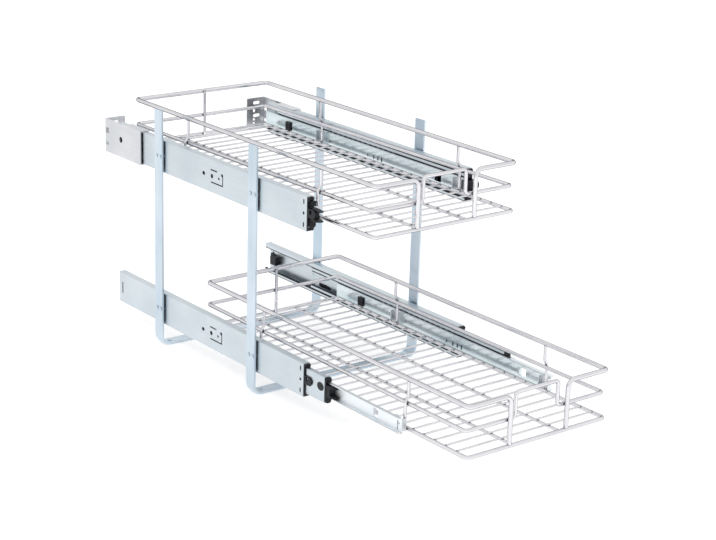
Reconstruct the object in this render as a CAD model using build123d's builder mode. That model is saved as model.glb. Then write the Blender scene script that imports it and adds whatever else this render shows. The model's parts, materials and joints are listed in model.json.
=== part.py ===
from build123d import *
from math import cos, radians, tan
import os

os.makedirs("parts", exist_ok=True)

# Two-tier sliding wire basket shelf, in millimetres.
# Frame of reference: x to the right, -y to the front, z up. The origin lies on the floor,
# in the middle of the four floor screw holes.

# Telescopic runners; depths are counted inward from the outer face of a runner
RUNNER_LENGTH = 457.0
RUNNER_HEIGHT = 45.7
RUNNER_FRONT = 1 - RUNNER_LENGTH / 2
RUNNER_REAR = RUNNER_FRONT + RUNNER_LENGTH
RUNNER_MIDDLE = RUNNER_FRONT + RUNNER_LENGTH / 2
RUNNER_GAP = 2.0
RUNNER_DEPTH = 12.7
SHEET = 1.2
FREE_PLAY = 0.3
TIER_Z = {"lower": 55.0, "upper": 277.0}
SIDES = {"left": -1, "right": 1}
CABINET_DEPTH = 10.4
CABINET_LIP = 7.05
MIDDLE_HEIGHT = 35.0
MIDDLE_LENGTH = RUNNER_LENGTH - 26
MIDDLE_START = 1.9
MIDDLE_STEP = 8.9
MIDDLE_SHELF = 2.1
MIDDLE_LIP = 3.4
MIDDLE_DEPTH = 11.3
MIDDLE_LEAD = 1.5
DRAWER_HEIGHT = 23.0
DRAWER_RIDGE = 1.7
DRAWER_START = 4.0

# Floor straps
FRAME_WIDTH = 279.6
STRAP_WIDTH = 19.0
STRAP_T = 2.5
STRAP_HEIGHT = 342.0
STRAP_SPACING = RUNNER_LENGTH / 2
STRAP_BEND = 14.0
FLOOR_HOLE_INSET = 17.8
FLOOR_HOLE_SPACING = FRAME_WIDTH - 2 * FLOOR_HOLE_INSET
FLOOR_HOLE_D = 6.0

# Ball races: distance from the outer face and groove depth
OUTER_RACE = 6.2
OUTER_GROOVE = 0.4
INNER_RACE = 7.9
INNER_GROOVE = 0.4
BALLS_PER_STRIP = 2
BALL_PRESS = 0.03
CAGE_T = 1.0
CAGE_PITCH = 12.7
CAGE_WINDOW = 7.0
OUTER_STRIP = (3.7, 8.7)
INNER_STRIP = (4.4, 9.6)

# Travel: how far the baskets stand out, and the share of it that the middle members make
FULL_TRAVEL = RUNNER_LENGTH
LOWER_PULL = 186.4
PULL = {"upper": 0.0, "lower": LOWER_PULL}
EVEN_SHARE = 0.5
SLOW_SHARE = 0.22
OUTER_CAGE_LENGTH = 12 * CAGE_PITCH
INNER_CAGE_LENGTH = 14 * CAGE_PITCH
SHORT_CAGE_LENGTH = 7 * CAGE_PITCH
OUTER_CAGE_CENTRE = RUNNER_MIDDLE - 11
INNER_CAGE_CENTRE = RUNNER_MIDDLE - 1

# Baskets, at wire centres
FACE_X = FRAME_WIDTH / 2 - STRAP_T - RUNNER_GAP
CLIP_ROOM = 10.1
HALF_BASKET = FACE_X - RUNNER_DEPTH - CLIP_ROOM
BASKET_LENGTH = RUNNER_LENGTH + 94.6
WIRE_GAPS = 27
WIRE_PITCH = BASKET_LENGTH / WIRE_GAPS
BASKET_OVERHANG = 108.6
BASKET_FRONT = RUNNER_FRONT - BASKET_OVERHANG
RIM_RISE = 57.0
MID_RISE = 25.4
MID_SAG = {"upper": 4.0, "lower": 0.0}
BOTTOM_RISE = -7.0
RIM_D = 6.0
MID_D = 5.0
BOTTOM_D = 5.0
CROSS_D = 2.5
FLOOR_WIRE_D = 4.0
UPRIGHT_D = 4.0
WELD = 0.3
LEG_X = HALF_BASKET * 0.413
RISER_X = HALF_BASKET * 0.307
FLOOR_WIRE_X = HALF_BASKET * 0.34
CORNER_R = 6.0
LEG_BEND = 10.0
RISER_BEND = 5.5
CROSS_RISE = 1.6
SPAN_RISE = 1.0
UPRIGHT_FRONT = 111.0
UPRIGHT_REAR = 135.0
KINK_DROP = 9.0

# Clips on the drawer members
CLIP_WIDTH = 18.0
CLIP_HEIGHT = 16.0

# Rear brackets of the upper runners
BRACKET_T = 1.5
BRACKET_FRONT = RUNNER_REAR - 66.5
BRACKET_REAR = RUNNER_REAR + 29.5
BRACKET_LIP_REAR = RUNNER_REAR - 20.5
BRACKET_HOLE = RUNNER_REAR - 13.5
BRACKET_FLANGE = 32.0
SLOT_LENGTH = 12.0
SLOT_D = 5.0
SLOT_X = FACE_X - 11.3
SLOT_RISE = 16.6
SLOT_PITCH = 19.6

# Derived sizes
CABINET_OUT = RUNNER_HEIGHT / 2
CABINET_IN = CABINET_OUT - SHEET
MIDDLE_OUT = MIDDLE_HEIGHT / 2
MIDDLE_IN = MIDDLE_OUT - SHEET
MIDDLE_FRONT = RUNNER_FRONT - MIDDLE_LEAD
SHELF_OUT = MIDDLE_OUT - MIDDLE_SHELF
SHELF_IN = SHELF_OUT - SHEET
DRAWER_OUT = DRAWER_HEIGHT / 2
DRAWER_WEB = RUNNER_DEPTH - SHEET
TRACK_OUT = DRAWER_OUT - DRAWER_RIDGE
TRACK_IN = TRACK_OUT - SHEET
OUTER_BALL_Z = (CABINET_IN + MIDDLE_OUT) / 2
OUTER_GROOVE_R = (CABINET_IN - MIDDLE_OUT) / 2 + OUTER_GROOVE
OUTER_BALL_R = OUTER_GROOVE_R - FREE_PLAY
INNER_BALL_Z = (SHELF_IN + TRACK_OUT) / 2
INNER_GROOVE_R = (SHELF_IN - TRACK_OUT) / 2 + INNER_GROOVE
INNER_BALL_R = INNER_GROOVE_R - FREE_PLAY
STRAP_YS = [STRAP_SPACING / 2, -STRAP_SPACING / 2]
RIVET_STEP = 4.6
RIVET_D = 3.2
RIVET_HEAD_D = 5.8
INSERT_Y = 8.4
INSERT_RISE = 2.75
PAD_Y = MIDDLE_LENGTH - 23.75
PAD_DROP = 9.0
STOP_Y = 398.0


def at(side, depth):
    # x of a point that lies depth inside the outer face of a runner
    return side * (FACE_X - depth)


def profile(side, zc, points):
    # closed section from (depth, height) pairs
    return [(at(side, s), zc + h) for s, h in points]


def both_halves(upper):
    # full section from its upper half, listed from the outer side to the inner side
    return upper + [(s, -h) for s, h in reversed(upper)]


def bent_line(points, bends):
    # straight runs joined by arcs; one bend radius per inner point
    here = Vector(*points[0])
    for k, bend in enumerate(bends, 1):
        corner = Vector(*points[k])
        before = (corner - Vector(*points[k - 1])).normalized()
        after = (Vector(*points[k + 1]) - corner).normalized()
        half_turn = radians(before.get_angle(after) / 2)
        start = corner - before * (bend * tan(half_turn))
        end = corner + after * (bend * tan(half_turn))
        inward = (after - before).normalized()
        top = corner + inward * (bend / cos(half_turn) - bend)
        if (start - here).length > 0.001:
            Line(here, start)
        ThreePointArc(start, top, end)
        here = end
    Line(here, Vector(*points[-1]))


def wire(points, radius, bends, mirrored=False):
    # round wire along a bent line; mirrored wires run on through the middle plane
    with BuildPart() as swept:
        with BuildLine() as path:
            bent_line(points, bends)
        with BuildSketch(Plane(origin=path.line @ 0, z_dir=path.line % 0)):
            Circle(radius)
        sweep(path=path.line)
        if mirrored:
            mirror(about=Plane.YZ)
    return swept.part


def rod(a, b, radius):
    # straight round wire from a to b
    a = Vector(*a)
    b = Vector(*b)
    run = b - a
    with BuildPart() as straight:
        with BuildSketch(Plane(origin=a, z_dir=run)):
            Circle(radius)
        extrude(amount=run.length)
    return straight.part


def save(part, name):
    part.label = name
    export_step(part, "parts/" + name + ".step")


# Floor straps: one bent flat bar each
for name, y in zip(("rear_strap", "front_strap"), STRAP_YS):
    half = FRAME_WIDTH / 2
    with BuildPart() as strap:
        with BuildSketch(Plane.XZ.offset(-y - STRAP_WIDTH / 2)):
            with BuildLine():
                outer = FilletPolyline(
                    (-half, STRAP_HEIGHT), (-half, 0), (half, 0), (half, STRAP_HEIGHT),
                    radius=STRAP_BEND,
                )
                inner = FilletPolyline(
                    (-half + STRAP_T, STRAP_HEIGHT), (-half + STRAP_T, STRAP_T),
                    (half - STRAP_T, STRAP_T), (half - STRAP_T, STRAP_HEIGHT),
                    radius=STRAP_BEND - STRAP_T,
                )
                Line(outer @ 0, inner @ 0)
                Line(outer @ 1, inner @ 1)
            make_face()
        extrude(amount=STRAP_WIDTH)
        with BuildSketch(Plane.XY):
            with Locations((-FLOOR_HOLE_SPACING / 2, y), (FLOOR_HOLE_SPACING / 2, y)):
                Circle(FLOOR_HOLE_D / 2)
        extrude(amount=STRAP_T, mode=Mode.SUBTRACT)
        for zc in TIER_Z.values():
            with BuildSketch(Plane.YZ.offset(-half)):
                with Locations((y - RIVET_STEP, zc), (y + RIVET_STEP, zc)):
                    Circle(RIVET_D / 2)
            extrude(amount=FRAME_WIDTH, mode=Mode.SUBTRACT)
    save(strap.part, name)

# Rivets with a collar that stands the runners off the straps
rivets = []
for zc in TIER_Z.values():
    for y in STRAP_YS:
        for side in SIDES.values():
            for dy in (-RIVET_STEP, RIVET_STEP):
                with BuildPart() as rivet:
                    with BuildSketch(Plane.YZ.offset(side * (FRAME_WIDTH / 2 + 0.9))):
                        with Locations((y + dy, zc)):
                            Circle(RIVET_HEAD_D / 2)
                    extrude(amount=-side * 0.9)
                    with BuildSketch(Plane.YZ.offset(side * FRAME_WIDTH / 2)):
                        with Locations((y + dy, zc)):
                            Circle(RIVET_D / 2)
                    extrude(amount=-side * (STRAP_T + RUNNER_GAP + SHEET))
                    with BuildSketch(Plane.YZ.offset(side * (FRAME_WIDTH / 2 - STRAP_T))):
                        with Locations((y + dy, zc)):
                            Circle(RIVET_HEAD_D / 2)
                    extrude(amount=-side * RUNNER_GAP)
                    with BuildSketch(Plane.YZ.offset(side * (FACE_X - SHEET))):
                        with Locations((y + dy, zc)):
                            Circle(RIVET_HEAD_D / 2)
                    extrude(amount=-side * FREE_PLAY)
                rivets.append(rivet.part)
save(Compound(children=rivets), "rivets")


def front_hole_pegs(zc):
    # three holes near the front of a cabinet member, as (y, z, length, width)
    y = RUNNER_FRONT + 6.6
    return [(y, zc + 15, 6.6, 2.6), (y, zc - 15, 6.6, 2.6), (y, zc, 4.2, 3.8)]


def cabinet_member(side, zc):
    h = CABINET_OUT
    tip = CABINET_DEPTH
    section = both_halves([
        (0, h - 0.6), (0.6, h), (tip - 0.6, h), (tip, h - 0.6), (tip, h - CABINET_LIP),
        (tip - SHEET, h - CABINET_LIP), (tip - SHEET, h - SHEET), (SHEET, h - SHEET),
    ])
    with BuildPart() as member:
        with BuildSketch(Plane.XZ.offset(-RUNNER_REAR)):
            with BuildLine():
                Polyline(*profile(side, zc, section), close=True)
            make_face()
            with Locations(
                (at(side, OUTER_RACE), zc + OUTER_BALL_Z),
                (at(side, OUTER_RACE), zc - OUTER_BALL_Z),
            ):
                Circle(OUTER_GROOVE_R, mode=Mode.SUBTRACT)
        extrude(amount=RUNNER_LENGTH)
        with BuildSketch(Plane.YZ.offset(side * FACE_X)):
            # front holes, rear slot, punched tongue with its holes, rivet holes
            for y, z, long, wide in front_hole_pegs(zc):
                with Locations((y, z)):
                    SlotOverall(long, wide, rotation=90)
            with Locations((RUNNER_REAR - 8.8, zc)):
                SlotOverall(17, 2.5, rotation=90)
            with Locations((RUNNER_MIDDLE + 5.5, zc)):
                SlotOverall(6.4, 5)
            with Locations((RUNNER_MIDDLE - 14.5, zc)):
                Circle(3)
            with Locations((RUNNER_MIDDLE - 31, zc)):
                Circle(1.8)
            with Locations((RUNNER_MIDDLE - 19, zc + 8.5)):
                SlotOverall(16, 1.8)
            with Locations((RUNNER_MIDDLE - 26.5, zc - 8.5)):
                SlotOverall(29, 1.8)
            with Locations((RUNNER_MIDDLE - 40.1, zc - 1)):
                SlotOverall(16.8, 1.8, rotation=90)
            with Locations((RUNNER_MIDDLE - 38.6, zc + 6)):
                Circle(2.2)
            for y in STRAP_YS:
                with Locations((y - RIVET_STEP, zc), (y + RIVET_STEP, zc)):
                    Circle(RIVET_D / 2)
        extrude(amount=-side * SHEET, mode=Mode.SUBTRACT)
    return member.part


def middle_member(side, zc, front):
    step = MIDDLE_STEP
    tip = MIDDLE_DEPTH
    low = SHELF_OUT - MIDDLE_LIP
    section = both_halves([
        (MIDDLE_START, MIDDLE_OUT - 0.5), (MIDDLE_START + 0.5, MIDDLE_OUT),
        (step - 0.4, MIDDLE_OUT), (step, MIDDLE_OUT - 0.4), (step, SHELF_OUT),
        (tip - 0.4, SHELF_OUT), (tip, SHELF_OUT - 0.4), (tip, low), (tip - SHEET, low),
        (tip - SHEET, SHELF_IN), (step - SHEET, SHELF_IN), (step - SHEET, MIDDLE_IN),
        (MIDDLE_START + SHEET, MIDDLE_IN),
    ])
    with BuildPart() as member:
        with BuildSketch(Plane.XZ.offset(-front - MIDDLE_LENGTH)):
            with BuildLine():
                Polyline(*profile(side, zc, section), close=True)
            make_face()
            with Locations(
                (at(side, OUTER_RACE), zc + OUTER_BALL_Z),
                (at(side, OUTER_RACE), zc - OUTER_BALL_Z),
            ):
                Circle(OUTER_GROOVE_R, mode=Mode.SUBTRACT)
            with Locations(
                (at(side, INNER_RACE), zc + INNER_BALL_Z),
                (at(side, INNER_RACE), zc - INNER_BALL_Z),
            ):
                Circle(INNER_GROOVE_R, mode=Mode.SUBTRACT)
        extrude(amount=MIDDLE_LENGTH)
        with BuildSketch(Plane.YZ.offset(at(side, MIDDLE_START))):
            with Locations((front + INSERT_Y, zc + INSERT_RISE)):
                Ellipse(7.2, 5.75)
            with Locations((front + PAD_Y, zc - PAD_DROP)):
                SlotOverall(27.5, 5)
            with Locations((front + MIDDLE_LENGTH - 8.5, zc - 1.7)):
                Circle(1.25)
        extrude(amount=-side * SHEET, mode=Mode.SUBTRACT)
    return member.part


def drawer_member(side, zc, front, clip_ys):
    web = DRAWER_WEB
    section = both_halves([
        (DRAWER_START, TRACK_OUT - 0.4), (DRAWER_START + 0.4, TRACK_OUT), (web, TRACK_OUT),
        (web, DRAWER_OUT), (RUNNER_DEPTH - 0.4, DRAWER_OUT), (RUNNER_DEPTH, DRAWER_OUT - 0.4),
    ])
    inside = both_halves([(DRAWER_START - 1, TRACK_IN), (web, TRACK_IN)])
    with BuildPart() as member:
        with BuildSketch(Plane.XZ.offset(-front - RUNNER_LENGTH)):
            with BuildLine():
                Polyline(*profile(side, zc, section), close=True)
            make_face()
            with BuildLine():
                Polyline(*profile(side, zc, inside), close=True)
            make_face(mode=Mode.SUBTRACT)
            with Locations(
                (at(side, INNER_RACE), zc + INNER_BALL_Z),
                (at(side, INNER_RACE), zc - INNER_BALL_Z),
            ):
                Circle(INNER_GROOVE_R, mode=Mode.SUBTRACT)
        extrude(amount=RUNNER_LENGTH)
        with BuildSketch(Plane.YZ.offset(at(side, web))):
            # front slit, window beside the lanced tab, punched marks, holes behind the clips
            with Locations((front + 8, zc - 2)):
                Rectangle(1.6, 12)
            with Locations((front + 51, zc - 1)):
                Rectangle(9, 12)
            for y, tall in ((207, 3.5), (193.5, 6), (184, 6), (175.5, 7)):
                with Locations((front + y, zc - 4)):
                    Rectangle(2.4, tall)
            with Locations((front + STOP_Y, zc - 1.6)):
                Rectangle(10.6, 12.6)
            for y in clip_ys:
                with Locations((y + 3.2, zc + 1)):
                    Circle(1.7)
        extrude(amount=-side * SHEET, mode=Mode.SUBTRACT)
        # lanced tab beside the window
        tab_front = front + 51 + 4.5
        with BuildSketch(Plane.XZ.offset(-tab_front - SHEET)):
            with BuildLine():
                tip = RUNNER_DEPTH + 3.6
                tab = [(web, -7), (tip, -5), (tip, 3), (web, 5)]
                Polyline(*profile(side, zc, tab), close=True)
            make_face()
        extrude(amount=SHEET)
    return member.part


def cage(side, zc, centre, length, race, ball_z, ball_r, span):
    # upper and lower strip with windows, and the two balls that carry each of them
    half_t = CAGE_T / 2
    width = span[1] - span[0]
    count = round(length / CAGE_PITCH)
    rows = [centre + CAGE_PITCH * (k - (count - 1) / 2) for k in range(count)]
    seats = [rows[1], rows[-2]]
    strips = []
    balls = []
    for up in (-1, 1):
        zb = zc + up * ball_z
        with BuildPart() as strip:
            with Locations((at(side, span[0] + width / 2), centre, zb)):
                Box(width, length, CAGE_T)
            with BuildSketch(Plane.XY.offset(zb - half_t)):
                for y in rows:
                    if y not in seats:
                        with Locations((at(side, span[1]), y)):
                            Rectangle(width * 1.2, CAGE_WINDOW)
                with Locations([(at(side, race), y) for y in seats]):
                    Circle(ball_r - BALL_PRESS)
            extrude(amount=CAGE_T, mode=Mode.SUBTRACT)
        strips.append(strip.part)
        for y in seats:
            with BuildPart() as ball:
                with Locations((at(side, race), y, zb)):
                    Sphere(ball_r)
            balls.append(ball.part)
    return Compound(children=strips), Compound(children=balls)


def end_cap(side, zc, front):
    # plastic nose of the middle member: flange with slots for the drawer member, forked plug
    core = TRACK_IN - 0.5
    deep = DRAWER_WEB - 0.4
    shallow = DRAWER_START - 0.6
    pass_z = TRACK_OUT + 0.5
    out = MIDDLE_OUT
    upper = [
        (MIDDLE_START, out - 3), (MIDDLE_START + 1, out - 1), (MIDDLE_START + 3, out),
        (MIDDLE_DEPTH - 2.5, out), (MIDDLE_DEPTH - 0.7, out - 1), (MIDDLE_DEPTH - 0.1, out - 3),
        (MIDDLE_DEPTH - 0.1, pass_z + 0.6), (MIDDLE_DEPTH - 0.7, pass_z), (shallow, pass_z),
        (shallow, core), (deep, core),
    ]
    with BuildPart() as cap:
        with BuildSketch(Plane.XZ.offset(-front)):
            with BuildLine():
                Polyline(*profile(side, zc, both_halves(upper)), close=True)
            make_face()
        extrude(amount=3)
        with BuildSketch(Plane.XY.offset(zc - core)):
            with BuildLine():
                plug = [(MIDDLE_START + 0.4, -3), (deep, -3), (deep, -19.5)]
                plug += [(MIDDLE_START + 3.4, -19.5), (MIDDLE_START + 0.4, -11)]
                Polyline(*[(at(side, s), front + y) for s, y in plug], close=True)
            make_face()
        extrude(amount=2 * core)
        # mouth between the two prongs, and their tapered outsides
        with BuildSketch(Plane.YZ.offset(at(side, 0))):
            with BuildLine():
                Polyline(
                    (front - 19.5, zc + core - 2.4), (front - 10, zc + core - 4.4),
                    (front - 10, zc - core + 4.4), (front - 19.5, zc - core + 2.4), close=True,
                )
            make_face()
            for up in (-1, 1):
                with BuildLine():
                    Polyline(
                        (front - 11, zc + up * core), (front - 19.5, zc + up * core),
                        (front - 19.5, zc + up * (core - 1.2)), close=True,
                    )
                make_face()
        extrude(amount=-side * RUNNER_DEPTH, mode=Mode.SUBTRACT)
    return cap.part


def middle_inserts(side, zc, front):
    parts = []
    plane = Plane.YZ.offset(at(side, MIDDLE_START))
    with BuildPart() as plug:
        with BuildSketch(plane):
            with Locations((front + INSERT_Y, zc + INSERT_RISE)):
                Ellipse(7.2, 5.75)
        extrude(amount=-side * 1.7)
    parts.append(plug.part)
    with BuildPart() as pad:
        with BuildSketch(plane):
            with Locations((front + PAD_Y, zc - PAD_DROP)):
                SlotOverall(27.5, 5)
        extrude(amount=-side * 1.7)
    parts.append(pad.part)
    return Compound(children=parts)


# Runners: everything that repeats per tier and side
front_ends = []
bumpers = []
for tier, zc in TIER_Z.items():
    pull = PULL[tier]
    basket_front = BASKET_FRONT - pull
    drawer_front = RUNNER_FRONT - pull
    clip_ys = [basket_front + UPRIGHT_FRONT, basket_front + BASKET_LENGTH - UPRIGHT_REAR]
    stops = []
    for hand, side in SIDES.items():
        tag = tier + "_" + hand + "_"
        share = EVEN_SHARE
        inner_length = INNER_CAGE_LENGTH
        if (tier, hand) == ("lower", "left"):
            share = SLOW_SHARE
            inner_length = SHORT_CAGE_LENGTH
        save(cabinet_member(side, zc), tag + "cabinet_member")
        middle_front = MIDDLE_FRONT - pull * share
        save(middle_member(side, zc, middle_front), tag + "middle_member")
        save(end_cap(side, zc, middle_front), tag + "end_cap")
        save(middle_inserts(side, zc, middle_front), tag + "inserts")
        save(drawer_member(side, zc, drawer_front, clip_ys), tag + "drawer_member")
        strips, balls = cage(
            side, zc, OUTER_CAGE_CENTRE - pull * share / 2, OUTER_CAGE_LENGTH, OUTER_RACE,
            OUTER_BALL_Z, OUTER_BALL_R, OUTER_STRIP,
        )
        save(strips, tag + "outer_cage")
        save(balls, tag + "outer_balls")
        strips, balls = cage(
            side, zc, INNER_CAGE_CENTRE - pull * (1 + share) / 2, inner_length, INNER_RACE,
            INNER_BALL_Z, INNER_BALL_R, INNER_STRIP,
        )
        save(strips, tag + "inner_cage")
        save(balls, tag + "inner_balls")

        with BuildPart() as stop:
            with BuildSketch(Plane.YZ.offset(at(side, DRAWER_WEB))):
                with Locations((drawer_front + STOP_Y, zc - 1.6)):
                    Rectangle(10.6, 12.6)
            extrude(amount=-side * (SHEET + 2.6))
        stops.append(stop.part)

        with BuildPart() as front_end:
            spine = MIDDLE_START - FREE_PLAY
            with BuildSketch(Plane.YZ.offset(at(side, 0))):
                with Locations((RUNNER_FRONT - 1, zc)):
                    Rectangle(2, RUNNER_HEIGHT - 3)
            extrude(amount=-side * spine)
            with BuildSketch(Plane.YZ.offset(at(side, 0.2))):
                with BuildLine():
                    Polyline(
                        (RUNNER_FRONT - 1, zc + 8), (RUNNER_FRONT - 13, zc + 8),
                        (RUNNER_FRONT - 16.5, zc + 5), (RUNNER_FRONT - 16.5, zc),
                        (RUNNER_FRONT - 13, zc - 4), (RUNNER_FRONT - 1, zc - 4), close=True,
                    )
                make_face()
                with Locations((RUNNER_FRONT - 7, zc + 3.8)):
                    Ellipse(2.4, 3, mode=Mode.SUBTRACT)
            extrude(amount=-side * (spine - 0.2))
            for up in (-1, 1):
                with BuildSketch(Plane.YZ.offset(at(side, 0))):
                    with BuildLine():
                        low = MIDDLE_OUT + 0.5
                        Polyline(
                            (RUNNER_FRONT + 3, zc + up * low),
                            (RUNNER_FRONT + 3, zc + up * CABINET_IN),
                            (RUNNER_FRONT - 2, zc + up * CABINET_IN),
                            (RUNNER_FRONT - 3, zc + up * (CABINET_IN - 1)),
                            (RUNNER_FRONT - 3, zc + up * low), close=True,
                        )
                    make_face()
                extrude(amount=-side * (CABINET_DEPTH - SHEET))
        with BuildPart() as web_side:
            with BuildSketch(Plane.YZ.offset(at(side, 0))):
                with Locations((RUNNER_FRONT + 1.5, zc + MIDDLE_OUT + 2.3)):
                    Rectangle(3, 5)
                with Locations((RUNNER_FRONT + 1.5, zc - MIDDLE_OUT - 2.3)):
                    Rectangle(3, 5)
            extrude(amount=-side * SHEET)
        body = front_end.part - web_side.part
        front_ends.append(body)
        for y, z, long, wide in front_hole_pegs(zc):
            with BuildPart() as peg:
                with BuildSketch(Plane.YZ.offset(at(side, 0))):
                    with Locations((y, z)):
                        SlotOverall(long, wide, rotation=90)
                extrude(amount=-side * SHEET)
            front_ends.append(peg.part)

        with BuildPart() as bumper:
            with BuildSketch(Plane.YZ.offset(at(side, SHEET))):
                with Locations((RUNNER_REAR - 19.5, zc - 1)):
                    Rectangle(14, 13)
            extrude(amount=-side * 9.3)
            with BuildSketch(Plane.YZ.offset(at(side, SHEET))):
                with Locations((RUNNER_REAR - 8.5, zc - 1)):
                    Rectangle(10, 15)
            extrude(amount=-side * 1.8)
        bumpers.append(bumper.part)
    save(Compound(children=stops), tier + "_drawer_stops")
save(Compound(children=front_ends), "front_end_pieces")
save(Compound(children=bumpers), "rear_bumpers")

# Rear brackets of the upper runners: a plate that stands off the cabinet member like the
# straps do, lips over its edges, and a flange across its rear end
for hand, side in SIDES.items():
    zc = TIER_Z["upper"]
    h = CABINET_OUT
    back = -RUNNER_GAP - BRACKET_T
    reach = back + BRACKET_FLANGE
    with BuildPart() as bracket:
        with BuildSketch(Plane.XZ.offset(-BRACKET_LIP_REAR)):
            with BuildLine():
                sleeve = both_halves([
                    (back, h + BRACKET_T), (RUNNER_DEPTH - 1, h + BRACKET_T),
                    (RUNNER_DEPTH - 1, h), (back + BRACKET_T, h),
                ])
                Polyline(*profile(side, zc, sleeve), close=True)
            make_face()
        extrude(amount=BRACKET_LIP_REAR - BRACKET_FRONT)
        with BuildSketch(Plane.XZ.offset(-BRACKET_REAR)):
            with BuildLine():
                plate = both_halves([(back, h + BRACKET_T), (back + BRACKET_T, h + BRACKET_T)])
                Polyline(*profile(side, zc, plate), close=True)
            make_face()
        extrude(amount=BRACKET_REAR - BRACKET_LIP_REAR)
        with BuildSketch(Plane.XZ.offset(-BRACKET_REAR)):
            with BuildLine():
                flange = [
                    (back, -h - BRACKET_T), (reach - 5, -h - BRACKET_T), (reach, -h + 3),
                    (reach, h + BRACKET_T - 1), (reach - 1, h + BRACKET_T), (back, h + BRACKET_T),
                ]
                Polyline(*profile(side, zc, flange), close=True)
            make_face()
        extrude(amount=BRACKET_T)
        with BuildSketch(Plane.XZ.offset(-BRACKET_REAR)):
            # two screw slots, a small upright slot and two small holes
            with Locations((side * SLOT_X, zc + SLOT_RISE)):
                SlotOverall(SLOT_LENGTH, SLOT_D)
            with Locations((side * SLOT_X, zc + SLOT_RISE - SLOT_PITCH)):
                SlotOverall(SLOT_LENGTH, SLOT_D)
            with Locations((side * (SLOT_X - 4.3), zc + SLOT_RISE - SLOT_PITCH / 2 - 1)):
                SlotOverall(7.6, 4, rotation=90)
            with Locations((side * (SLOT_X - 4.3), zc - 9)):
                Circle(2)
            with Locations((side * (SLOT_X - 4.3), zc - 14.6)):
                Circle(1.6)
        extrude(amount=BRACKET_T, mode=Mode.SUBTRACT)
        with BuildSketch(Plane.YZ.offset(at(side, back))):
            with Locations((BRACKET_HOLE, zc + 1.2)):
                SlotOverall(8.5, 8, rotation=90)
            with Locations((BRACKET_REAR - 6.2, zc + 7.6)):
                Rectangle(7.4, 7.9)
            with Locations((BRACKET_REAR - 6.2, zc - 11)):
                Rectangle(7.4, 4.7)
        extrude(amount=-side * BRACKET_T, mode=Mode.SUBTRACT)
    save(bracket.part, "rear_bracket_" + hand)

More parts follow.
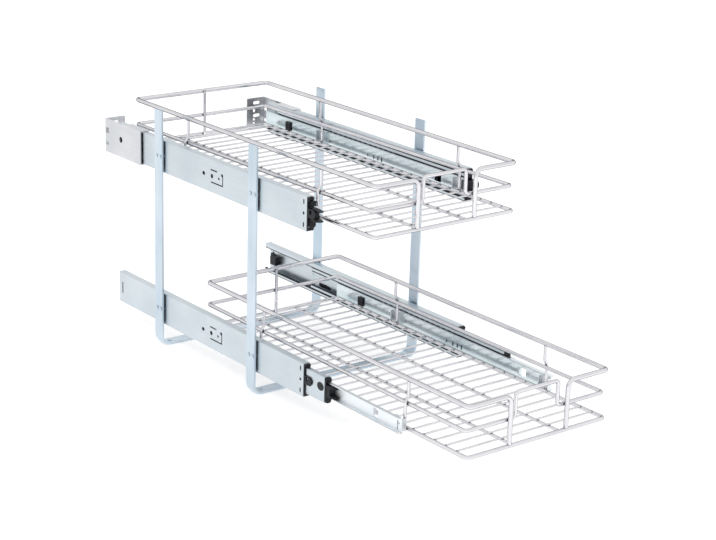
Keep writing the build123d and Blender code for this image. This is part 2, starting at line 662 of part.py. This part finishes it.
# Baskets
for tier, zc in TIER_Z.items():
    yf = BASKET_FRONT - PULL[tier]
    yr = yf + BASKET_LENGTH
    z_rim = zc + RIM_RISE
    z_mid = zc + MID_RISE
    z_bot = zc + BOTTOM_RISE
    sag = MID_SAG[tier]
    b = HALF_BASKET
    tag = tier + "_basket_"

    leg_foot = z_bot + BOTTOM_D / 2 - WELD
    half_rim = [
        (0, yr, z_rim), (-b, yr, z_rim), (-b, yf, z_rim), (-LEG_X, yf, z_rim),
        (-LEG_X, yf, leg_foot),
    ]
    save(wire(half_rim, RIM_D / 2, [CORNER_R, CORNER_R, LEG_BEND], True), tag + "rim")

    ym = yf + RIM_D / 2 + MID_D / 2 - WELD
    z_span = z_rim + SPAN_RISE
    half_mid = [
        (0, yr, z_mid - sag), (-b, yr, z_mid - sag), (-b, ym, z_mid), (-RISER_X, ym, z_mid),
        (-RISER_X, ym, z_span), (0, ym, z_span),
    ]
    mid_bends = [CORNER_R, CORNER_R, RISER_BEND, RISER_BEND]
    save(wire(half_mid, MID_D / 2, mid_bends, True), tag + "mid_wire")

    half_bottom = [(0, yr, z_bot), (-b, yr, z_bot), (-b, yf, z_bot), (0, yf, z_bot)]
    save(wire(half_bottom, BOTTOM_D / 2, [CORNER_R, CORNER_R], True), tag + "bottom_wire")

    z_cross = z_bot + CROSS_RISE
    reach = b - ((BOTTOM_D / 2) ** 2 - CROSS_RISE**2) ** 0.5 + WELD
    cross = []
    for k in range(1, WIRE_GAPS):
        y = yf + k * WIRE_PITCH
        cross.append(rod((-reach, y, z_cross), (reach, y, z_cross), CROSS_D / 2))
    save(Compound(children=cross), tag + "cross_wires")

    z_long = z_cross - CROSS_D / 2 - FLOOR_WIRE_D / 2 + WELD
    trim = BOTTOM_D / 2 - WELD
    longs = []
    for x in (-FLOOR_WIRE_X, FLOOR_WIRE_X):
        longs.append(rod((x, yf + trim, z_long), (x, yr - trim, z_long), FLOOR_WIRE_D / 2))
    save(Compound(children=longs), tag + "floor_wires")

    bulge = MID_D / 2 + UPRIGHT_D / 2 - 0.1
    uprights = []
    for side in SIDES.values():
        for y in (yf + UPRIGHT_FRONT, yr - UPRIGHT_REAR):
            z_here = z_mid - sag * (y - ym) / (yr - ym)
            points = [
                (side * b, y, z_rim - RIM_D / 2 + WELD), (side * b, y, z_here + KINK_DROP),
                (side * (b + bulge), y, z_here + 2), (side * (b + bulge), y, z_bot - 3),
            ]
            uprights.append(wire(points, UPRIGHT_D / 2, [3.0, 3.0]))
    y = yr - bulge
    uprights.append(rod((0, y, z_bot - 1.5), (0, y, z_rim + 1.0), UPRIGHT_D / 2))
    save(Compound(children=uprights), tag + "uprights")

    clips = []
    ear = FACE_X - RUNNER_DEPTH - b - bulge
    for side in SIDES.values():
        for y in (yf + UPRIGHT_FRONT, yr - UPRIGHT_REAR):
            front = y - UPRIGHT_D / 2 + 0.05
            with BuildPart() as clip:
                with BuildSketch(Plane.XY.offset(zc - CLIP_HEIGHT / 2)):
                    with BuildLine():
                        s0 = RUNNER_DEPTH
                        s1 = s0 + ear
                        outline = [
                            (s0, front - SHEET), (s1, front - SHEET), (s1, front),
                            (s0 + SHEET, front), (s0 + SHEET, front - 2 * SHEET + CLIP_WIDTH),
                            (s1, front - 2 * SHEET + CLIP_WIDTH),
                            (s1, front - SHEET + CLIP_WIDTH), (s0, front - SHEET + CLIP_WIDTH),
                        ]
                        Polyline(*[(at(side, s), v) for s, v in outline], close=True)
                    make_face()
                extrude(amount=CLIP_HEIGHT)
                with BuildSketch(Plane.YZ.offset(at(side, RUNNER_DEPTH))):
                    with Locations((y + 6, zc - 3)):
                        Circle(1.8)
                extrude(amount=-side * SHEET, mode=Mode.SUBTRACT)
            clips.append(clip.part)
    save(Compound(children=clips), tag + "clips")
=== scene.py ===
import json
import math
import bpy
import bmesh
from mathutils import Matrix, Vector


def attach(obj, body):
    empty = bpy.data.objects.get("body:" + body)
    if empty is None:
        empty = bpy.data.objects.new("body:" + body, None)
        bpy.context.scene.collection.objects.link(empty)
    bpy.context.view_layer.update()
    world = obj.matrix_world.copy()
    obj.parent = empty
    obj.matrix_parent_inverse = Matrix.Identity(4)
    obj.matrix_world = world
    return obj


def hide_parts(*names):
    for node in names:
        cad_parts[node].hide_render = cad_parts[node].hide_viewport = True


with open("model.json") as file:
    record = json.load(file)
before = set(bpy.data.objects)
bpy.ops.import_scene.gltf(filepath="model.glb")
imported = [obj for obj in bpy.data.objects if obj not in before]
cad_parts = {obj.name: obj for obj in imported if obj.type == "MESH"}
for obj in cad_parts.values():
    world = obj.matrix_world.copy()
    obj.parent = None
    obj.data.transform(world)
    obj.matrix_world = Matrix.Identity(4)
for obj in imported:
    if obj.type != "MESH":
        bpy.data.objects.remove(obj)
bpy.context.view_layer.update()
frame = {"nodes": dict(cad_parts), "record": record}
NODES = frame["nodes"]
SLOTS = {s["node"]: s["material_slot"] for s in frame["record"]["subparts"]}

# Camera, fitted to the photograph's edges; angles in degrees, place in metres
PHOTO_WIDTH = 716
FOCAL_PIXELS = 1869.0
SENSOR_WIDTH = 36
AZIMUTH = -38.1625
ELEVATION = 17.879
ROLL = 1.6905
CAMERA_PLACE = (-1.46597, -2.0274, 0.92777)

# Main sizes of the part in millimetres. A runner has its own measures: s goes inwards from its
# cabinet face, and heights count from its centre line.
MM = 0.001
SIDES = {"left": -1, "right": 1}
TIER_Z = {"lower": 55.0, "upper": 277.0}
PULL = {"lower": 186.4, "upper": 0.0}
FACE_X = 135.3
RUNNER_FRONT = -227.5
RUNNER_LENGTH = 457.0
MIDDLE_BACK = 1.5
BASKET_FRONT = -336.1
BASKET_LENGTH = 551.6
HALF_BASKET = 112.5

# The lower left middle member lags behind the others
LAGGING = "lower_left_"
LAGGING_SHARE = 0.22
SHARE = 0.5

# Sheet of the drawer members: half of its section as (s, height), and its punchings as
# distance behind the front end, height, length and tallness
SHEET = 1.15
BEND_RADIUS = 0.8
LEG_SHARE = 0.45
TRACK = [(6.4, 9.5), (8.0, 9.2), (12.1, 9.2)]
PUNCHINGS = [(8, -2, 1.6, 12), (51, -1, 9, 12), (398, -1.6, 10.6, 12.6), (207, -4, 2.4, 3.5),
             (193.5, -4, 2.4, 6), (184, -4, 2.4, 6), (175.5, -4, 2.4, 7)]
PUNCH_S = (10.0, 14.0)
CLIP_HOLE = 1.7
CLIP_HOLE_RISE = 1
CLIP_HOLE_BEHIND = 3.2
CLIP_FROM_FRONT = 111
CLIP_FROM_REAR = 135
TAB_SECTION = [(12.6, -7), (16.2, -5), (16.2, 3), (12.6, 5)]
TAB_Y = 51 + 4.5
TAB_SHEET = 1.2
RIM_S = (11.55, 12.65)
RIM_Z = (-11.5, -9.3)

# Dark strips put in the gaps between the members as painted shade, and bars of the ball cage
STRIP_Y = (1, 430)
TRACK_STRIP_S = (9.9, 10.5)
TRACK_STRIP_Z = (9.9, 12.3)
STEP_STRIP_S = (8.92, 9.12)
STEP_STRIP_Z = (-17.5, -15.5)
BAR_S = (10.3, 10.9)
BAR_Z = (10.0, 11.7)
BAR_HALF = 2.1
BAR_PITCH = 11.6
BARS = 14
BARS_LAGGING = 7

# Dark plates behind the openings of the cabinet member as painted shade: y, height, length and
# tallness
SHADOW_S = (1.25, 1.6)
TONGUE_Y = 1.0
OPENINGS = [
    (220.7, 0, 3.5, 18),
    (TONGUE_Y + 5.5, 0, 7.4, 6),
    (TONGUE_Y - 14.5, 0, 7, 7),
    (TONGUE_Y - 31, 0, 4.4, 4.4),
    (TONGUE_Y - 19, 8.5, 17, 2.6),
    (TONGUE_Y - 26.5, -8.5, 30, 2.6),
    (TONGUE_Y - 40.1, -1, 2.6, 17.6),
    (TONGUE_Y - 38.6, 6, 5.2, 5.2),
]

# Weld spots: half sizes in x, y and z, at the floor wires and at the bottom wire; their dark
# colour is painted shade at the wire crossings. BEAD_RING is the share of the width that a bead
# has at half its height.
BEAD_SIDES = 8
BEAD_RING = 0.87
WIRE_GAPS = 27
CROSS_WIRE_Z = -7.0 + 1.6
FLOOR_WIRE_X = 38.25
FLOOR_BEAD = (2.1, 2.1, 1.5)
FLOOR_BEAD_DROP = 1.1
BOTTOM_BEAD = (1.5, 1.9, 1.6)
BOTTOM_BEAD_IN = 1.9

# Painted shade across a runner as height and tone: dark bands painted on the lips of cabinet
# and middle member where shade falls in the gaps, and on the tracks of the left drawer members.
# BAND_HALF is the height the bands reach up and down.
BAND_HALF = 30.0
LIP_REACH = 0.1266
LIP_PAINTED_SHADE = [(-22.9, 0.04), (-21.6, 0.04), (-21.2, 1), (-18.8, 1), (-18.4, 0.02), (-15.5, 0.02),
             (-15.3, 1), (15.4, 1), (15.6, 0.03), (16.9, 0.03), (17.2, 1)]
TRACK_REACH = 1.0
TRACK_PAINTED_SHADE = [(-12, 0.5), (-9.3, 0.5), (-9.0, 1), (9.6, 1), (9.9, 0.7), (12, 0.7)]

# Patterns of the materials: scales of the noise, where on the noise a ramp starts and ends, and
# heights of the bumps in metres
DRIFT_SCALE = 14.0
GRAIN_SCALE = 350.0
PLASTIC_DRIFT_SCALE = 90.0
PLASTIC_GRAIN_SCALE = 900.0
DRIFT_SPAN = (0.35, 0.65)
SPECK_SPAN = (0.35, 0.62)
GRAIN_SPAN = (0.3, 0.7)
METAL_BUMP = 0.0002
PLASTIC_BUMP = 0.0001

# Painted shade by occlusion: distance in metres and (dark end, its tone, light end)
HOLE_SHADE = (0.005, (0.15, 0.08, 0.55))
WEB_HOLE_SHADE = (0.002, (0.15, 0.08, 0.55))
RIVET_EDGE_SHADE = (0.002, (0.3, 0.3, 0.7))
WIRE_CROSSING_SHADE = (0.0035, (0.35, 0.25, 0.8))

# Studio: strength of the surroundings as light, their look in camera and gloss, and the lamps
WORLD_LIGHT = 0.62
WORLD_SEEN = 1.0
FLOOR_HALF = 12.0
FLOOR_DROP = 0.0003
FLOOR_TONE = 0.9
FLOOR_GLOW = 0.42
LAMP_SIZE = 1.6
LAMP_TARGET = (0, -0.1, 0.15)
LAMPS = {"key": ((-1.6, -1.2, 2.6), 26.0), "fill": ((2.4, -1.0, 2.2), 10.0),
         "rim": ((0.5, 2.6, 2.2), 10.0)}


def make_camera():
    az, el, roll = map(math.radians, (AZIMUTH, ELEVATION, ROLL))
    back = Vector((math.sin(az) * math.cos(el), -math.cos(az) * math.cos(el), math.sin(el)))
    right = Vector((math.cos(az), math.sin(az), 0))
    up = back.cross(right)
    x = math.cos(roll) * right + math.sin(roll) * up
    y = -math.sin(roll) * right + math.cos(roll) * up
    data = bpy.data.cameras.new("camera")
    data.sensor_fit = "HORIZONTAL"
    data.sensor_width = SENSOR_WIDTH
    data.lens = FOCAL_PIXELS / PHOTO_WIDTH * SENSOR_WIDTH
    data.clip_end = 100
    cam = bpy.data.objects.new("camera", data)
    m = Matrix((x, y, back)).transposed().to_4x4()
    m.translation = Vector(CAMERA_PLACE)
    cam.matrix_world = m
    bpy.context.collection.objects.link(cam)
    bpy.context.scene.camera = cam


def nodes_of(name):
    mat = bpy.data.materials.new(name)
    mat.use_nodes = True
    nt = mat.node_tree
    return mat, nt, nt.nodes["Principled BSDF"]


def add(nt, kind, **values):
    node = nt.nodes.new(kind)
    for key, value in values.items():
        setattr(node, key, value)
    return node


def calc(nt, operation, *values):
    # math node on sockets and plain numbers
    node = add(nt, "ShaderNodeMath", operation=operation)
    for socket, value in zip(node.inputs, values):
        if isinstance(value, (int, float)):
            socket.default_value = value
        else:
            nt.links.new(value, socket)
    return node.outputs[0]


def noise(nt, coord, scale, detail=3.0, stretch=None):
    tex = add(nt, "ShaderNodeTexNoise")
    tex.inputs["Scale"].default_value = scale
    tex.inputs["Detail"].default_value = detail
    if stretch:
        mapping = add(nt, "ShaderNodeMapping")
        mapping.inputs["Scale"].default_value = stretch
        nt.links.new(coord, mapping.inputs["Vector"])
        coord = mapping.outputs["Vector"]
    nt.links.new(coord, tex.inputs["Vector"])
    return tex.outputs["Fac"]


def ramp(nt, fac, stops):
    stops = list(stops)
    node = add(nt, "ShaderNodeValToRGB")
    elements = node.color_ramp.elements
    while len(elements) < len(stops):
        elements.new(0.5)
    for element, (position, colour) in zip(elements, stops):
        element.position = position
        element.color = (*colour, 1)
    nt.links.new(fac, node.inputs["Fac"])
    return node.outputs["Color"]


def fade(nt, fac, span, first, last):
    return ramp(nt, fac, zip(span, (first, last)))


def grey(v):
    return (v, v, v)


def multiply(nt, base, tone, where=None):
    # base times tone, all over or by the factor in where
    mix = add(nt, "ShaderNodeMix", data_type="RGBA", blend_type="MULTIPLY")
    mix.inputs["Factor"].default_value = 1.0
    if where:
        nt.links.new(where, mix.inputs["Factor"])
    nt.links.new(base, mix.inputs["A"])
    nt.links.new(tone, mix.inputs["B"])
    return mix.outputs["Result"]


def bump_up(nt, bsdf, height, strength, distance):
    node = add(nt, "ShaderNodeBump")
    node.inputs["Strength"].default_value = strength
    node.inputs["Distance"].default_value = distance
    nt.links.new(height, node.inputs["Height"])
    nt.links.new(node.outputs["Normal"], bsdf.inputs["Normal"])


def occlusion_shaded(nt, base, distance, depth):
    # painted shade: base darkened by occlusion in openings, slits and the contacts of wires
    dark, tone, light = depth
    ao = add(nt, "ShaderNodeAmbientOcclusion", samples=8)
    ao.inputs["Distance"].default_value = distance
    shade = fade(nt, ao.outputs["AO"], (dark, light), grey(tone), grey(1.0))
    return multiply(nt, base, shade)


def painted_shade_bands(nt, coord, base, stops, reach):
    # painted shade: base darkened in bands along the runners, on faces closer than reach to the
    # middle plane
    parts = add(nt, "ShaderNodeSeparateXYZ")
    nt.links.new(coord, parts.inputs[0])
    x, z = parts.outputs["X"], parts.outputs["Z"]
    low, high = TIER_Z["lower"], TIER_Z["upper"]
    upper = calc(nt, "GREATER_THAN", z, (low + high) / 2 * MM)
    local = calc(nt, "SUBTRACT", z, calc(nt, "MULTIPLY", upper, (high - low) * MM))
    scaled = add(nt, "ShaderNodeMapRange")
    scaled.inputs["From Min"].default_value = (low - BAND_HALF) * MM
    scaled.inputs["From Max"].default_value = (low + BAND_HALF) * MM
    nt.links.new(local, scaled.inputs["Value"])
    tone = ramp(nt, scaled.outputs["Result"],
                [(h / (2 * BAND_HALF) + 0.5, grey(v)) for h, v in stops])
    return multiply(nt, base, tone, calc(nt, "LESS_THAN", calc(nt, "ABSOLUTE", x), reach))


def metal(name, colours, roughness, stretch, bump, grain=GRAIN_SCALE, occlusion_shade=None, edge=1.0,
          speck=None, shade_bands=None):
    # plated or bare metal: slow colour drift, fine grain drawn out along the sheet, and edge as
    # the tint of reflections at a grazing angle; where given, painted shade by occlusion and
    # painted shade bands
    mat, nt, bsdf = nodes_of(name)
    coord = add(nt, "ShaderNodeTexCoord").outputs["Object"]
    fine = noise(nt, coord, grain, stretch=stretch)
    base = fade(nt, noise(nt, coord, DRIFT_SCALE, 4.0), DRIFT_SPAN, *colours)
    if speck:
        scale, tint = speck
        patches = noise(nt, coord, scale, 5.0, stretch)
        base = multiply(nt, base, fade(nt, patches, SPECK_SPAN, tint, grey(1.0)))
    if shade_bands:
        base = painted_shade_bands(nt, coord, base, *shade_bands)
    if occlusion_shade:
        base = occlusion_shaded(nt, base, *occlusion_shade)
    nt.links.new(base, bsdf.inputs["Base Color"])
    nt.links.new(fade(nt, fine, GRAIN_SPAN, *map(grey, roughness)), bsdf.inputs["Roughness"])
    bsdf.inputs["Metallic"].default_value = 1.0
    bsdf.inputs["Specular Tint"].default_value = (edge, edge, edge, 1)
    if bump:
        bump_up(nt, bsdf, fine, bump, METAL_BUMP)
    return mat


def plastic(name, colours, roughness, bump):
    mat, nt, bsdf = nodes_of(name)
    coord = add(nt, "ShaderNodeTexCoord").outputs["Object"]
    fine = noise(nt, coord, PLASTIC_GRAIN_SCALE)
    slow = noise(nt, coord, PLASTIC_DRIFT_SCALE, 2.0)
    nt.links.new(fade(nt, slow, GRAIN_SPAN, *colours), bsdf.inputs["Base Color"])
    nt.links.new(fade(nt, fine, GRAIN_SPAN, *map(grey, roughness)), bsdf.inputs["Roughness"])
    bsdf.inputs["Specular IOR Level"].default_value = 0.28
    bump_up(nt, bsdf, fine, bump, PLASTIC_BUMP)
    return mat


# Each has its range of colour, its range of roughness, the stretch of the grain, and the bump
MATERIALS = {
    "strap_zinc": metal("strap_zinc", ((0.54, 0.63, 0.70), (0.63, 0.71, 0.78)), (0.28, 0.42),
                        (1, 1, 0.06), 0.15, speck=(60.0, (0.90, 0.94, 0.97))),
    "runner_zinc": metal("runner_zinc", ((0.56, 0.615, 0.66), (0.62, 0.675, 0.715)),
                         (0.30, 0.42), (1, 0.05, 1), 0.12, occlusion_shade=HOLE_SHADE,
                         speck=(40.0, (0.96, 0.98, 0.97)), shade_bands=(LIP_PAINTED_SHADE, LIP_REACH)),
    "sheet_zinc": metal("sheet_zinc", ((0.62, 0.66, 0.69), (0.72, 0.75, 0.77)), (0.25, 0.4),
                        (1, 0.2, 1), 0.1, occlusion_shade=HOLE_SHADE),
    "rivet_zinc": metal("rivet_zinc", ((0.52, 0.60, 0.66), (0.60, 0.68, 0.74)), (0.25, 0.4),
                        (1, 1, 1), 0.1, occlusion_shade=RIVET_EDGE_SHADE),
    "bracket_steel": metal("bracket_steel", ((0.60, 0.615, 0.64), (0.68, 0.69, 0.71)),
                           (0.28, 0.42), (1, 0.08, 1), 0.15, occlusion_shade=HOLE_SHADE),
    "cage_steel": metal("cage_steel", ((0.20, 0.21, 0.23), (0.28, 0.29, 0.31)), (0.3, 0.45),
                        (1, 0.1, 1), 0.1),
    "ball_steel": metal("ball_steel", ((0.70, 0.70, 0.72), (0.78, 0.78, 0.80)), (0.05, 0.12),
                        (1, 1, 1), 0.0, 600.0),
    "wire_chrome": metal("wire_chrome", ((0.71, 0.705, 0.735), (0.78, 0.775, 0.80)),
                         (0.05, 0.12), (1, 1, 1), 0.03, 500.0, occlusion_shade=WIRE_CROSSING_SHADE, edge=0.03),
    "plastic_black": plastic("plastic_black", ((0.006, 0.0065, 0.009), (0.0108, 0.0117, 0.0162)),
                             (0.34, 0.5), 0.15),
}
# Drawer member zinc in two copies: the left copy is painted lighter, as painted light on the lit
# near side, and carries painted shade bands on its tracks
WEB_ZINC = metal("web_zinc", ((0.66, 0.73, 0.76), (0.76, 0.82, 0.84)), (0.16, 0.30),
                 (1, 0.05, 1), 0.12, occlusion_shade=WEB_HOLE_SHADE, speck=(70.0, (0.84, 0.90, 0.91)))
WEB_PAINTED_LIT = metal("web_painted_lit", ((0.84, 0.88, 0.91), (0.88, 0.92, 0.94)), (0.42, 0.52),
                   (1, 0.05, 1), 0.1, occlusion_shade=WEB_HOLE_SHADE, shade_bands=(TRACK_PAINTED_SHADE, TRACK_REACH))
WEB_PAINTED_LIGHT = {"left": WEB_PAINTED_LIT, "right": WEB_ZINC}
# dark weld colour: real weld spots, darkened as painted shade at the crossings
WELD_SHADE_DARK = metal("weld_painted_shade", ((0.16, 0.16, 0.17), (0.34, 0.34, 0.36)), (0.25, 0.5),
                   (1, 1, 1), 0.2, 700.0)
# near black, for sheets put where there is only shade: painted shade
SHADE_DARK = metal("painted_shade_dark", ((0.020, 0.022, 0.028), (0.05, 0.055, 0.065)), (0.35, 0.5),
                  (1, 0.1, 1), 0.1)

for name, obj in NODES.items():
    mat = MATERIALS[SLOTS[name]]
    for slot in obj.material_slots:
        slot.material = mat
    if not obj.material_slots:
        obj.data.materials.append(mat)


def piece(name, shape, material, body, smooth=False):
    # shape holds points in millimetres and faces; without a body the piece rides on nothing yet
    verts, faces = shape
    mesh = bpy.data.meshes.new(name)
    mesh.from_pydata([[c * MM for c in v] for v in verts], [], faces)
    mesh.update()
    bm = bmesh.new()
    bm.from_mesh(mesh)
    bmesh.ops.recalc_face_normals(bm, faces=bm.faces)
    bm.to_mesh(mesh)
    bm.free()
    if smooth:
        mesh.shade_smooth()
    mesh.materials.append(material)
    obj = bpy.data.objects.new(name, mesh)
    bpy.context.collection.objects.link(obj)
    if body:
        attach(obj, body)
    return obj


def merged(parts):
    verts = []
    faces = []
    for v, f in parts:
        n = len(verts)
        verts += v
        faces += [tuple(i + n for i in face) for face in f]
    return verts, faces


def prism(verts):
    # solid between two rings of points, given one after the other
    n = len(verts) // 2
    faces = [tuple(range(n - 1, -1, -1)), tuple(range(n, 2 * n))]
    faces += [(k, (k + 1) % n, n + (k + 1) % n, n + k) for k in range(n)]
    return verts, faces


def inwards(side, s):
    return side * (FACE_X - s)


def runner_box(side, s, y, z):
    # box of a runner between two values each of s, y and z
    lo, hi = zip(sorted(inwards(side, a) for a in s), sorted(y), sorted(z))
    verts = [(a, b, c) for a in (lo[0], hi[0]) for b in (lo[1], hi[1]) for c in (lo[2], hi[2])]
    faces = [(0, 1, 3, 2), (4, 6, 7, 5), (0, 4, 5, 1), (2, 3, 7, 6), (0, 2, 6, 4), (1, 5, 7, 3)]
    return verts, faces


def bend(points, radius, steps=4):
    # centre line of a bent sheet: every inner corner becomes an arc, which takes at most
    # LEG_SHARE of the shorter leg
    out = [Vector(points[0])]
    for a, b, c in zip(points, points[1:], points[2:]):
        a, b, c = Vector(a), Vector(b), Vector(c)
        u = (a - b).normalized()
        v = (c - b).normalized()
        half = u.angle(v) / 2
        leg = min((a - b).length, (c - b).length)
        r = min(radius, LEG_SHARE * leg * math.tan(half))
        run = r / math.tan(half)
        centre = b + (u + v).normalized() * (r / math.sin(half))
        p = b + u * run - centre
        q = b + v * run - centre
        turn = p.angle(q)
        for k in range(steps + 1):
            t = k / steps
            w = (p * math.sin((1 - t) * turn) + q * math.sin(t * turn)) / math.sin(turn)
            out.append(centre + w)
    out.append(Vector(points[-1]))
    return out


def bent_sheet(line, thickness, y0, y1, side, zc):
    # line holds (s, height)
    pairs = []
    for i, p in enumerate(line):
        before = (p - line[i - 1]).normalized() if i else None
        after = (line[i + 1] - p).normalized() if i + 1 < len(line) else None
        d = ((before or after) + (after or before)).normalized()
        n = Vector((-d.y, d.x)) * thickness / 2
        pairs.append((p + n, p - n))
    verts = []
    for y in (y0, y1):
        for pair in pairs:
            verts += [(inwards(side, q.x), y, zc + q.y) for q in pair]
    n = len(pairs)
    m = 2 * n
    faces = [(0, 1, m + 1, m), (m - 2, 2 * m - 2, 2 * m - 1, m - 1)]
    for i in range(n - 1):
        a = 2 * i
        faces += [(a, a + 2, m + a + 2, m + a), (a + 1, m + a + 1, m + a + 3, a + 3),
                  (a, a + 1, a + 3, a + 2), (m + a, m + a + 2, m + a + 3, m + a + 1)]
    return verts, faces


def cut(obj, tools):
    # openings punched through a sheet
    cutter = piece("cutter", merged(tools), WEB_ZINC, None)
    mod = obj.modifiers.new("cut", "BOOLEAN")
    mod.object = cutter
    mod.operation = "DIFFERENCE"
    mod.solver = "EXACT"
    mod.use_self = True
    bpy.context.view_layer.update()
    graph = bpy.context.evaluated_depsgraph_get()
    mesh = bpy.data.meshes.new_from_object(obj.evaluated_get(graph))
    obj.modifiers.clear()
    obj.data = mesh
    bpy.data.objects.remove(cutter)


def round_tool(side, y, z, radius, count=16):
    angles = [math.tau * k / count for k in range(count)]
    return prism([(inwards(side, s), y + radius * math.cos(a), z + radius * math.sin(a))
                  for s in PUNCH_S for a in angles])


def plate(side, s, y, z, length, tall):
    return runner_box(side, s, (y - length / 2, y + length / 2), (z - tall / 2, z + tall / 2))


# Drawer members: web between two ball tracks that flare to the outside, with its punchings
DRAWER_LINE = bend(TRACK + [(s, -z) for s, z in reversed(TRACK)], BEND_RADIUS)
for tier, zc in TIER_Z.items():
    front = RUNNER_FRONT - PULL[tier]
    basket = BASKET_FRONT - PULL[tier]
    for hand, side in SIDES.items():
        tag = tier + "_" + hand + "_"
        sheet = bent_sheet(DRAWER_LINE, SHEET, front, front + RUNNER_LENGTH, side, zc)
        member = piece(tag + "drawer_channel", sheet, WEB_PAINTED_LIGHT[hand], None)
        tools = [plate(side, PUNCH_S, front + y, zc + z, length, tall)
                 for y, z, length, tall in PUNCHINGS]
        for y in (basket + CLIP_FROM_FRONT, basket + BASKET_LENGTH - CLIP_FROM_REAR):
            tools.append(round_tool(side, y + CLIP_HOLE_BEHIND, zc + CLIP_HOLE_RISE, CLIP_HOLE))
        cut(member, tools)
        tab = prism([(inwards(side, s), y, zc + h)
                     for y in (front + TAB_Y, front + TAB_Y + TAB_SHEET) for s, h in TAB_SECTION])
        rim = runner_box(side, RIM_S, (front, front + RUNNER_LENGTH), [zc + z for z in RIM_Z])
        lance = piece(tag + "drawer_tab", merged([tab, rim]), WEB_PAINTED_LIGHT[hand], None)
        for obj in (member, lance):
            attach(obj, tier + "_basket")
        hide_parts(tag + "drawer_member")

        # dark strips in the gap between middle and drawer member and on the step of the middle
        # member: painted shade
        share = LAGGING_SHARE if tag == LAGGING else SHARE
        start = RUNNER_FRONT - MIDDLE_BACK - PULL[tier] * share
        ends = [start + y for y in STRIP_Y]
        strips = [runner_box(side, TRACK_STRIP_S, ends, [zc + up * z for z in TRACK_STRIP_Z])
                  for up in (-1, 1)]
        strips.append(runner_box(side, STEP_STRIP_S, ends, [zc + z for z in STEP_STRIP_Z]))
        piece(tag + "gap_shade_strips", merged(strips), SHADE_DARK, tag + "middle")
        shade_plates = [plate(side, SHADOW_S, y, zc + z, length, tall)
                   for y, z, length, tall in OPENINGS]
        piece(tag + "cabinet_shadows", merged(shade_plates), SHADE_DARK, "frame")
        count = BARS_LAGGING if tag == LAGGING else BARS
        centre = -PULL[tier] * (1 + share) / 2
        bars = []
        for k in range(count):
            y = centre + BAR_PITCH * (k - (count - 1) / 2)
            bars += [runner_box(side, BAR_S, (y - BAR_HALF, y + BAR_HALF),
                                [zc + up * z for z in BAR_Z]) for up in (-1, 1)]
        piece(tag + "cage_bars", merged(bars), MATERIALS["cage_steel"],
              tag + "inner_balls_and_cage")


def bead(x, y, z, half):
    # two rings between a top and a bottom point
    rx, ry, rz = half
    n = BEAD_SIDES
    verts = [(x, y, z + rz)]
    for h in (0.5, -0.5):
        for k in range(n):
            a = math.tau * k / n
            verts.append((x + rx * BEAD_RING * math.cos(a), y + ry * BEAD_RING * math.sin(a),
                          z + rz * h))
    verts.append((x, y, z - rz))
    edges = [(1 + k, 1 + (k + 1) % n) for k in range(n)]
    faces = [(0, a, b) for a, b in edges]
    faces += [(a, n + a, n + b, b) for a, b in edges]
    faces += [(2 * n + 1, n + b, n + a) for a, b in edges]
    return verts, faces


# Weld spots where the cross wires lie on the floor wires and where they meet the bottom wire,
# dark as painted shade at the crossings
for tier, zc in TIER_Z.items():
    front = BASKET_FRONT - PULL[tier]
    z = zc + CROSS_WIRE_Z
    beads = []
    for k in range(1, WIRE_GAPS):
        y = front + k * BASKET_LENGTH / WIRE_GAPS
        for x in (-FLOOR_WIRE_X, FLOOR_WIRE_X):
            beads.append(bead(x, y, z - FLOOR_BEAD_DROP, FLOOR_BEAD))
        for x in (BOTTOM_BEAD_IN - HALF_BASKET, HALF_BASKET - BOTTOM_BEAD_IN):
            beads.append(bead(x, y, z, BOTTOM_BEAD))
    piece(tier + "_basket_welds", merged(beads), WELD_SHADE_DARK, tier + "_basket",
          True)


def make_world():
    world = bpy.data.worlds.new("world")
    bpy.context.scene.world = world
    world.use_nodes = True
    nt = world.node_tree
    bg = nt.nodes["Background"]
    path = add(nt, "ShaderNodeLightPath").outputs
    through = calc(nt, "MAXIMUM", path["Is Glossy Ray"], path["Is Transmission Ray"])
    seen = calc(nt, "MAXIMUM", path["Is Camera Ray"], through)
    strength = add(nt, "ShaderNodeMapRange")
    strength.inputs["To Min"].default_value = WORLD_LIGHT
    strength.inputs["To Max"].default_value = WORLD_SEEN
    nt.links.new(seen, strength.inputs["Value"])
    nt.links.new(strength.outputs["Result"], bg.inputs["Strength"])
    bg.inputs["Color"].default_value = (1, 1, 1, 1)


def make_floor():
    mesh = bpy.data.meshes.new("floor")
    s = FLOOR_HALF
    mesh.from_pydata([(-s, -s, 0), (s, -s, 0), (s, s, 0), (-s, s, 0)], [], [(0, 1, 2, 3)])
    floor = bpy.data.objects.new("floor", mesh)
    floor.location.z = -FLOOR_DROP
    bpy.context.collection.objects.link(floor)
    mat, nt, bsdf = nodes_of("floor_white")
    bsdf.inputs["Base Color"].default_value = (*grey(FLOOR_TONE), 1)
    bsdf.inputs["Roughness"].default_value = 0.9
    bsdf.inputs["Specular IOR Level"].default_value = 0.0
    bsdf.inputs["Emission Color"].default_value = (1, 1, 1, 1)
    path = add(nt, "ShaderNodeLightPath").outputs
    seen = calc(nt, "MAXIMUM", path["Is Camera Ray"], path["Is Glossy Ray"])
    nt.links.new(calc(nt, "MULTIPLY", seen, FLOOR_GLOW), bsdf.inputs["Emission Strength"])
    mesh.materials.append(mat)


def make_lamps():
    for name, (place, power) in LAMPS.items():
        data = bpy.data.lights.new(name, "AREA")
        data.shape = "DISK"
        data.size = LAMP_SIZE
        data.energy = power
        lamp = bpy.data.objects.new(name, data)
        lamp.visible_glossy = False
        lamp.location = place
        look = Vector(LAMP_TARGET) - Vector(place)
        lamp.rotation_euler = look.to_track_quat("-Z", "Y").to_euler()
        bpy.context.collection.objects.link(lamp)


make_camera()
make_world()
make_floor()
make_lamps()
bpy.context.scene.view_settings.view_transform = "Standard"
